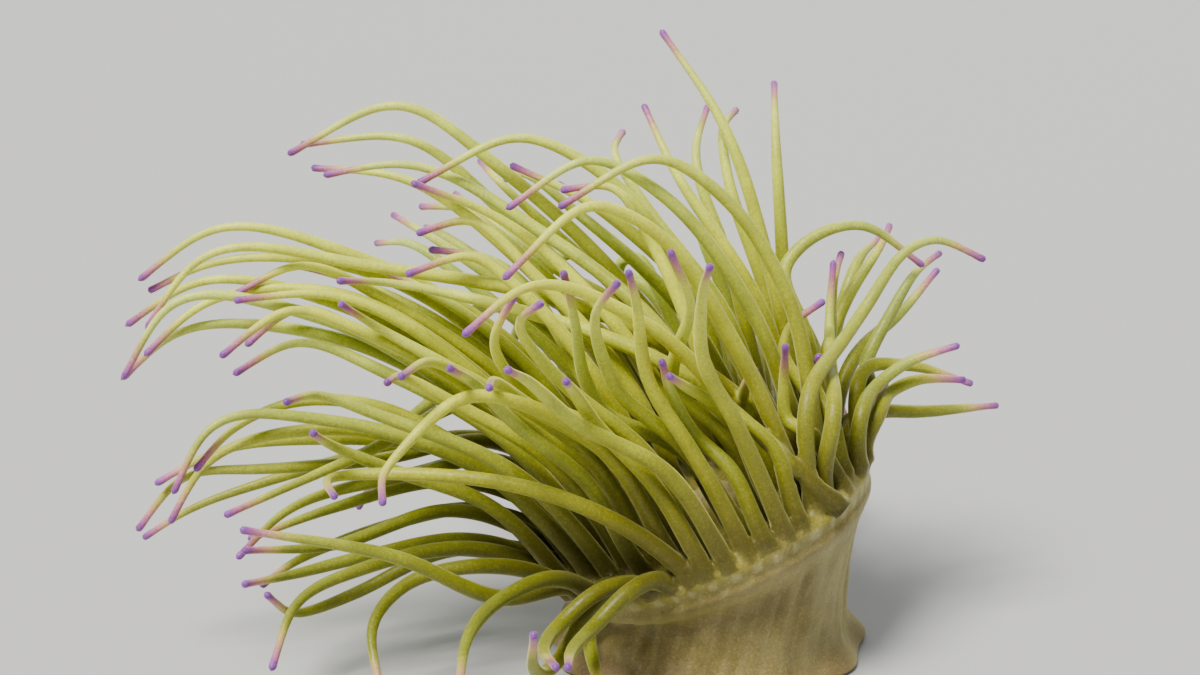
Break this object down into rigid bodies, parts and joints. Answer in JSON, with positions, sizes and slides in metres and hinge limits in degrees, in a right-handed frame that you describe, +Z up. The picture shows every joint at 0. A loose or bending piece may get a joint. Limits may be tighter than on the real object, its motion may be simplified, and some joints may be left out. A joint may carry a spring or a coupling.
{
  "type": "sea anemone",
  "caption": "Life-size snakelocks sea anemone: a short column on a flat foot, and a tilted disc whose long tapering tentacles arch over and sweep to one side.",
  "frame": {"origin": "the middle of the foot's flat underside, on the surface that the anemone stands on", "axes": "+Z up, +X to the right and away from the side that the tentacles sweep to, -Y to the front"},
  "size_m": [0.1814, 0.1649, 0.1236],
  "materials": {
    "column": "soft wet flesh, brownish grey",
    "disc": "soft wet flesh, olive brown with radial lines",
    "mouth": "soft wet flesh, pale olive",
    "tentacles": "soft satin flesh, olive yellow with violet tips"
  },
  "bodies": {
    "root": {"foot": "column", "column": "column", "collar": "column", "oral_disc": "disc", "mouth": "mouth", "crown_01": "tentacles", "crown_02": "tentacles", "crown_03": "tentacles", "crown_04": "tentacles", "crown_05": "tentacles", "crown_06": "tentacles", "crown_07": "tentacles", "crown_08": "tentacles", "crown_09": "tentacles", "crown_10": "tentacles", "crown_11": "tentacles", "crown_12": "tentacles", "crown_13": "tentacles", "crown_14": "tentacles", "crown_15": "tentacles", "crown_16": "tentacles", "crown_17": "tentacles", "crown_18": "tentacles", "crown_19": "tentacles", "crown_20": "tentacles", "crown_21": "tentacles", "crown_22": "tentacles", "crown_23": "tentacles", "crown_24": "tentacles"}
  },
  "joints": []
}
